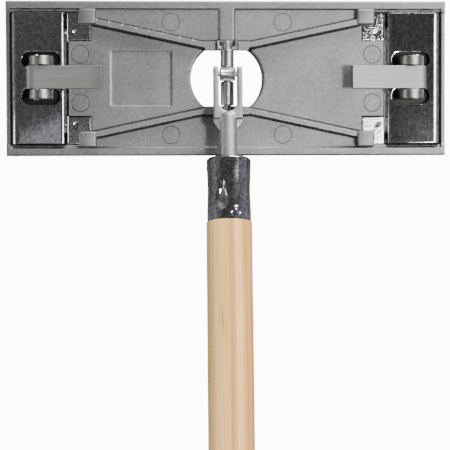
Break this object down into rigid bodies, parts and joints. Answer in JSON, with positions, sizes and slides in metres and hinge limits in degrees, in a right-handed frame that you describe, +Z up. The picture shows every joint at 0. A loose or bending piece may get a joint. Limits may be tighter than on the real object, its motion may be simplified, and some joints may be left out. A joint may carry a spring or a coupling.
{
  "type": "pole drywall sander",
  "caption": "Drywall sanding head of cast aluminium with lever-operated paper clamps, a two-axis swivel and a long wooden pole.",
  "frame": {"origin": "on the plane of the sanding face, under the middle of the whole tool's box", "axes": "+Y from the pole's end towards the head, +X along the head, +Z up from the sanding face"},
  "size_m": [0.235, 1.289, 0.2651],
  "materials": {
    "cast_aluminium": "as-cast, fine matt grain",
    "lever_aluminium": "satin, fine lengthwise brushing",
    "zinc_plated_steel": "bright plated sheet with light spangle",
    "plated_ferrule": "dark bright plating, slightly mottled",
    "polished_steel": "polished",
    "pale_wood": "bare sanded softwood",
    "grey_foam": "fine closed-cell foam rubber"
  },
  "bodies": {
    "head": {"base_plate": "cast_aluminium", "foam_pad": "grey_foam", "swivel_pin": "polished_steel", "upper_spacer": "polished_steel", "lower_spacer": "polished_steel", "left_lever_bracket": "polished_steel", "left_front_rivet": "polished_steel", "left_rear_rivet": "polished_steel", "left_lever_pin": "polished_steel", "right_lever_bracket": "polished_steel", "right_front_rivet": "polished_steel", "right_rear_rivet": "polished_steel", "right_lever_pin": "polished_steel"},
    "swivel": {"swivel_block": "polished_steel", "cross_pin": "polished_steel"},
    "handle": {"yoke": "cast_aluminium", "ferrule": "plated_ferrule", "pole": "pale_wood"},
    "left_lever": {"left_cam_lever": "lever_aluminium"},
    "right_lever": {"right_cam_lever": "lever_aluminium"},
    "left_jaw": {"left_clamp": "zinc_plated_steel"},
    "right_jaw": {"right_clamp": "zinc_plated_steel"}
  },
  "joints": [
    {"name": "head_swivel", "type": "hinge", "parent": "head", "child": "swivel", "pos_m": [0, 0.60489, 0.0175], "axis": [0, 1, 0], "range_deg": [-45, 45]},
    {"name": "pole_tilt", "type": "hinge", "parent": "swivel", "child": "handle", "pos_m": [0, 0.60489, 0.0227], "axis": [-1, 0, 0], "range_deg": [0, 159]},
    {"name": "left_lever_turn", "type": "hinge", "parent": "head", "child": "left_lever", "pos_m": [-0.1005, 0.60329, 0.0194], "axis": [0, -1, 0], "range_deg": [0, 90]},
    {"name": "right_lever_turn", "type": "hinge", "parent": "head", "child": "right_lever", "pos_m": [0.1005, 0.60329, 0.0194], "axis": [0, 1, 0], "range_deg": [0, 90]},
    {"name": "left_clamp_lift", "type": "hinge", "parent": "head", "child": "left_jaw", "pos_m": [-0.073, 0.60329, 0.0087], "axis": [0, 1, 0], "range_deg": [0, 2.7]},
    {"name": "right_clamp_lift", "type": "hinge", "parent": "head", "child": "right_jaw", "pos_m": [0.073, 0.60329, 0.0087], "axis": [0, -1, 0], "range_deg": [0, 2.7]}
  ],
  "couplings": [
    {"joint": "left_clamp_lift", "follows": "left_lever_turn", "ratio": 0.03},
    {"joint": "right_clamp_lift", "follows": "right_lever_turn", "ratio": 0.03}
  ]
}
